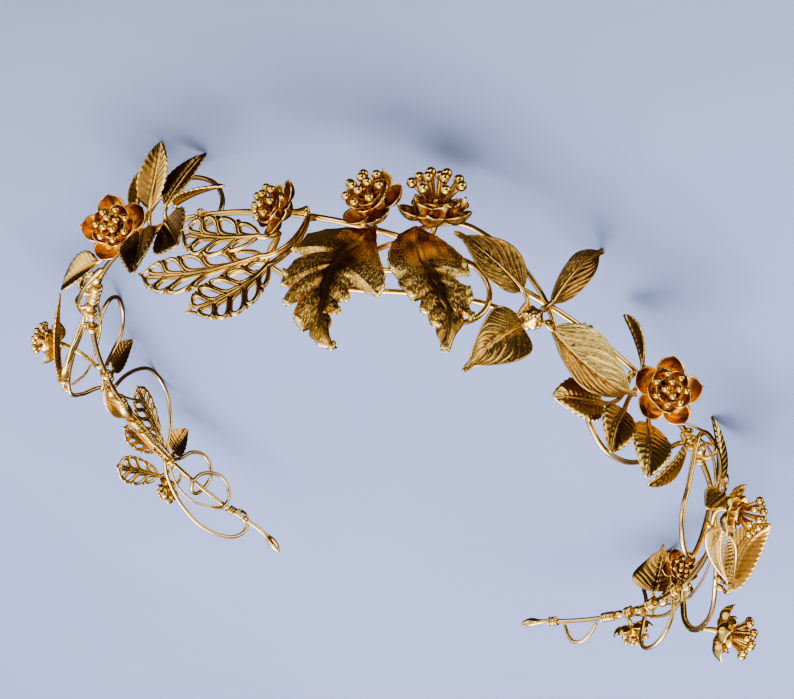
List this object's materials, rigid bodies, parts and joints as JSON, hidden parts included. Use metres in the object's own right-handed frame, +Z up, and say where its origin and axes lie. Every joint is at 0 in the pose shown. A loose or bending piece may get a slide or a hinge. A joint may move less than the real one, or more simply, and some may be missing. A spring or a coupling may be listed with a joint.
{
  "type": "metal flower crown",
  "caption": "Open horseshoe crown of brass wire with stamped leaves, pierced leaves and small blossoms, worn round the head.",
  "frame": {"origin": "middle of the crown's outline on the surface it lies on, under the head hollow", "axes": "+Z up out of the surface, -Y to the front of the crown, +X to the side with the large open leaves; the open end of the horseshoe faces +Y"},
  "size_m": [0.1813, 0.1774, 0.0467],
  "materials": {
    "wire_gold": "polished pale gold plate on drawn brass wire",
    "leaf_gold": "antique gold plate, satin, darker in the hollows",
    "blossom_gold": "glossy warm gold plate on cast brass"
  },
  "bodies": {
    "root": {"base_wire": "wire_gold", "lower_rail_wire": "wire_gold", "wire_loop_front": "wire_gold", "wire_arc_front": "wire_gold", "wire_arc_left": "wire_gold", "wire_stem_left": "wire_gold", "wire_loop_left_side": "wire_gold", "wire_scroll_left_back": "wire_gold", "wire_loop_left_end": "wire_gold", "wire_arc_right": "wire_gold", "wire_loop_right_side": "wire_gold", "wire_ring_right_back": "wire_gold", "wire_scroll_right_back": "wire_gold", "wire_loop_right_end": "wire_gold", "binding_coils": "wire_gold", "rose_leaf_left_1": "leaf_gold", "rose_leaf_left_2": "leaf_gold", "rose_leaf_left_3": "leaf_gold", "rose_leaf_left_4": "leaf_gold", "rose_leaf_left_5": "leaf_gold", "rose_leaf_left_6": "leaf_gold", "pale_leaf_left": "leaf_gold", "narrow_leaf_left": "leaf_gold", "small_leaf_left": "leaf_gold", "leaf_left_back": "leaf_gold", "rose_leaf_right_1": "leaf_gold", "rose_leaf_right_2": "leaf_gold", "rose_leaf_right_3": "leaf_gold", "rose_leaf_right_4": "leaf_gold", "rose_leaf_right_5": "leaf_gold", "rose_leaf_right_6": "leaf_gold", "cap_leaf_right": "leaf_gold", "broad_leaf_right": "leaf_gold", "smooth_leaf_left": "leaf_gold", "smooth_leaf_right": "leaf_gold", "sprig_leaf_1": "leaf_gold", "sprig_leaf_2": "leaf_gold", "sprig_leaf_3": "leaf_gold", "sprig_leaf_4": "leaf_gold", "sprig_knot": "blossom_gold", "vine_leaf_left": "leaf_gold", "vine_leaf_right": "leaf_gold", "filigree_leaf_front_1": "leaf_gold", "filigree_leaf_front_2": "leaf_gold", "filigree_leaf_front_3": "leaf_gold", "filigree_leaf_back_1": "leaf_gold", "filigree_leaf_back_2": "leaf_gold", "filigree_leaf_back_3": "leaf_gold", "feather_leaf": "leaf_gold", "blossom_left_side": "blossom_gold", "blossom_left": "blossom_gold", "bud_front_left": "blossom_gold", "blossom_front_left": "blossom_gold", "blossom_front_right": "blossom_gold", "blossom_right": "blossom_gold", "blossom_right_side": "blossom_gold", "blossom_right_back": "blossom_gold", "bud_left_back": "blossom_gold", "bud_right_back": "blossom_gold", "bud_right_end": "blossom_gold"}
  },
  "joints": []
}
